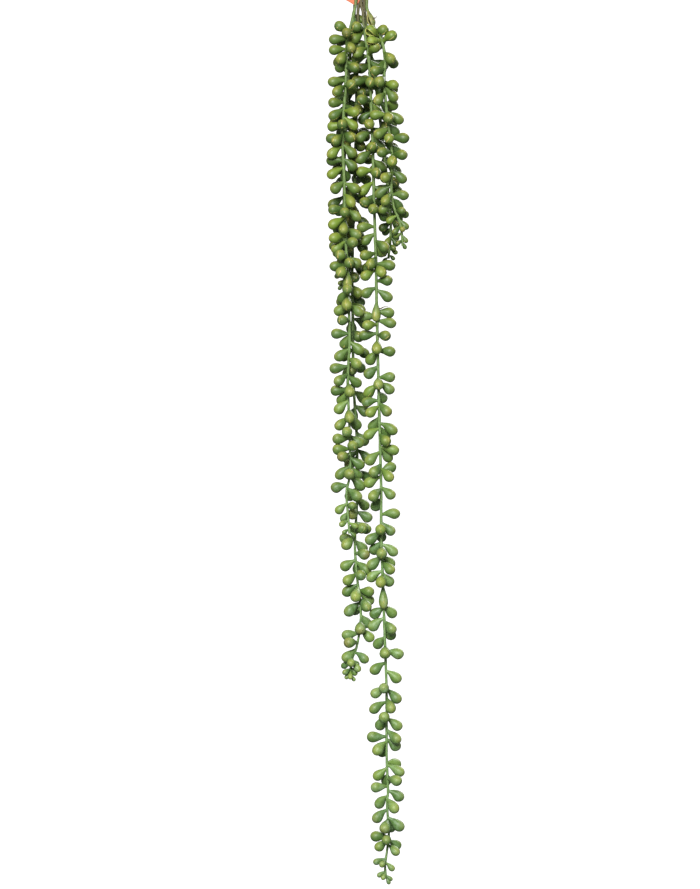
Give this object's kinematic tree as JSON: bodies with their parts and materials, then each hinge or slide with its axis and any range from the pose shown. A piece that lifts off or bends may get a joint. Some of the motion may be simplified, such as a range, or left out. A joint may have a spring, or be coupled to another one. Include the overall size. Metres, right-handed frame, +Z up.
{
  "type": "potted burros tail plant",
  "caption": "Terracotta pot on a wire hook hanger, planted with trailing burro's tail whose long strands of plump bead-like leaves hang far below its rim.",
  "frame": {"origin": "inner top of the hanger's hook, at the point where it bears on what it hangs from", "axes": "+Z up, -Y the front over whose rim the strands hang, +X to the right seen from the front"},
  "size_m": [0.12, 0.1697, 1.3151],
  "materials": {
    "terracotta": "matte",
    "potting_soil": "matte",
    "hanger_steel": "satin",
    "label_plastic": "matte",
    "leaf_green": "satin",
    "leaf_shaded": "satin"
  },
  "bodies": {
    "root": {"pot": "terracotta", "soil": "potting_soil", "hanger_hook": "hanger_steel", "hanger_wire_left": "hanger_steel", "hanger_wire_right": "hanger_steel", "hanger_wire_back": "hanger_steel", "stem_label": "label_plastic", "strand_long": "leaf_green", "strand_front_left": "leaf_green", "strand_right": "leaf_green", "strand_back_left": "leaf_shaded", "strand_behind_left": "leaf_shaded", "strand_back_right": "leaf_shaded"}
  },
  "joints": []
}
